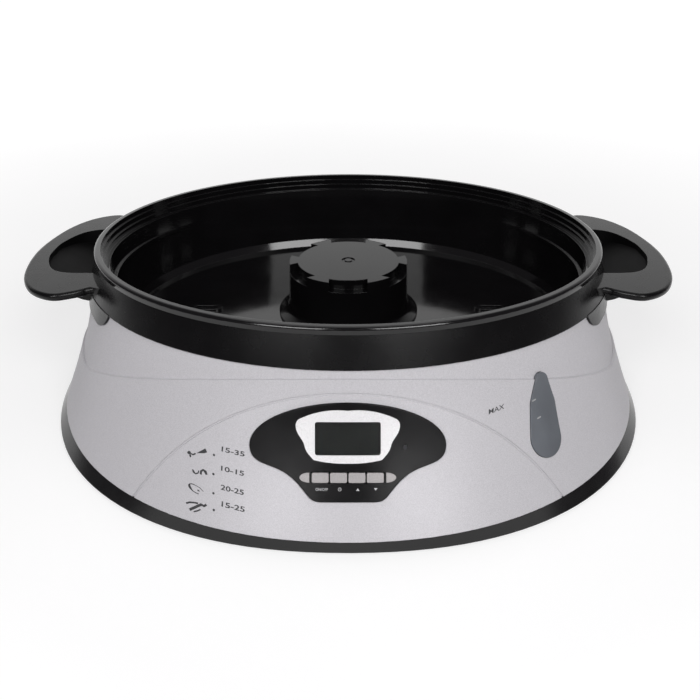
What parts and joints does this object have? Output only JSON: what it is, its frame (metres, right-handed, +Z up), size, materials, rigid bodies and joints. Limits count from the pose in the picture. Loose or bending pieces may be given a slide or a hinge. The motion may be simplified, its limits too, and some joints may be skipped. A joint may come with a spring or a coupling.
{
  "type": "electric food steamer base",
  "caption": "Oval electric food steamer base: flared silver body, black water basin with two loop handles, steam cap, control panel with display and keys, water level window",
  "frame": {"origin": "middle of the surface it stands on, under the middle of the oval body", "axes": "+Z up, -Y to the front with the control panel, +X to the right with the water level window"},
  "size_m": [0.397, 0.3556, 0.102],
  "materials": {
    "silver_shell": "satin silver paint on moulded plastic",
    "black_base": "satin black moulding",
    "foot_rubber": "soft black rubber",
    "black_satin": "satin black moulding",
    "basin_black": "polished black moulding",
    "cap_black": "semi-gloss black moulding",
    "silicone": "pale translucent silicone",
    "heater_steel": "spun stainless steel",
    "element_metal": "cast aluminium sheath",
    "zinc_steel": "zinc-plated steel",
    "thermostat_body": "phenolic body with steel cap",
    "bezel_black": "gloss black panel",
    "frame_silver": "silver-painted frame",
    "display_lens": "clear tinted display lens",
    "display_glass": "grey-green liquid crystal panel",
    "button_silver": "silver-painted key",
    "led_clear": "dark red light pipe",
    "board_green": "glass-epoxy circuit board",
    "switch_black": "black switch body",
    "ribbon_grey": "grey ribbon cable",
    "window_smoke": "smoky clear polycarbonate",
    "chamber_clear": "clear polycarbonate",
    "gland_rubber": "black rubber bush",
    "terminal_white": "natural nylon",
    "lead_sleeve": "glass-fibre silicone sleeve",
    "transformer_yellow": "laminated core with taped winding",
    "relay_blue": "blue relay case",
    "capacitor_grey": "box capacitor",
    "capacitor_black": "sleeved can"
  },
  "bodies": {
    "base": {"housing": "silver_shell", "base_plate": "black_base", "foot_front_left": "foot_rubber", "foot_front_right": "foot_rubber", "foot_back_left": "foot_rubber", "foot_back_right": "foot_rubber", "handle_collar": "black_satin", "water_basin": "basin_black", "heater_gasket": "silicone", "heater_plate": "heater_steel", "heater_element": "element_metal", "heater_clamp": "zinc_steel", "clamp_screws": "zinc_steel", "thermostat": "thermostat_body", "thermal_fuse": "terminal_white", "control_bezel": "bezel_black", "lcd_frame": "frame_silver", "lcd_lens": "display_lens", "lcd_module": "display_glass", "tact_switch_1": "switch_black", "tact_switch_2": "switch_black", "tact_switch_3": "switch_black", "tact_switch_4": "switch_black", "trim_left": "button_silver", "trim_right": "button_silver", "led_pipe": "led_clear", "control_board": "board_green", "control_screws": "zinc_steel", "buzzer": "switch_black", "ribbon_cable": "ribbon_grey", "level_lens": "window_smoke", "level_gasket": "silicone", "level_chamber": "chamber_clear", "level_hose": "silicone", "cord_gland": "gland_rubber", "terminal_block": "terminal_white", "heater_lead_live": "lead_sleeve", "heater_lead_neutral": "lead_sleeve", "power_board": "board_green", "transformer": "transformer_yellow", "relay": "relay_blue", "mains_capacitor": "capacitor_grey", "smoothing_capacitor": "capacitor_black", "power_screws": "zinc_steel", "base_screws": "zinc_steel"},
    "cap": {"steam_cap": "cap_black"},
    "key_1": {"button_1": "button_silver"},
    "key_2": {"button_2": "button_silver"},
    "key_3": {"button_3": "button_silver"},
    "key_4": {"button_4": "button_silver"}
  },
  "joints": [
    {"name": "cap_lift", "type": "slide", "parent": "base", "child": "cap", "axis": [0, 0, 1], "range_m": [0, 0.06]},
    {"name": "key_1_press", "type": "slide", "parent": "base", "child": "key_1", "axis": [0, -0.8609, 0.5088], "range_m": [-0.0008, 0], "stiffness_N_per_m": 900, "springref_m": 0.0005},
    {"name": "key_2_press", "type": "slide", "parent": "base", "child": "key_2", "axis": [0, -0.8609, 0.5088], "range_m": [-0.0008, 0], "stiffness_N_per_m": 900, "springref_m": 0.0005},
    {"name": "key_3_press", "type": "slide", "parent": "base", "child": "key_3", "axis": [0, -0.8609, 0.5088], "range_m": [-0.0008, 0], "stiffness_N_per_m": 900, "springref_m": 0.0005},
    {"name": "key_4_press", "type": "slide", "parent": "base", "child": "key_4", "axis": [0, -0.8609, 0.5088], "range_m": [-0.0008, 0], "stiffness_N_per_m": 900, "springref_m": 0.0005}
  ]
}
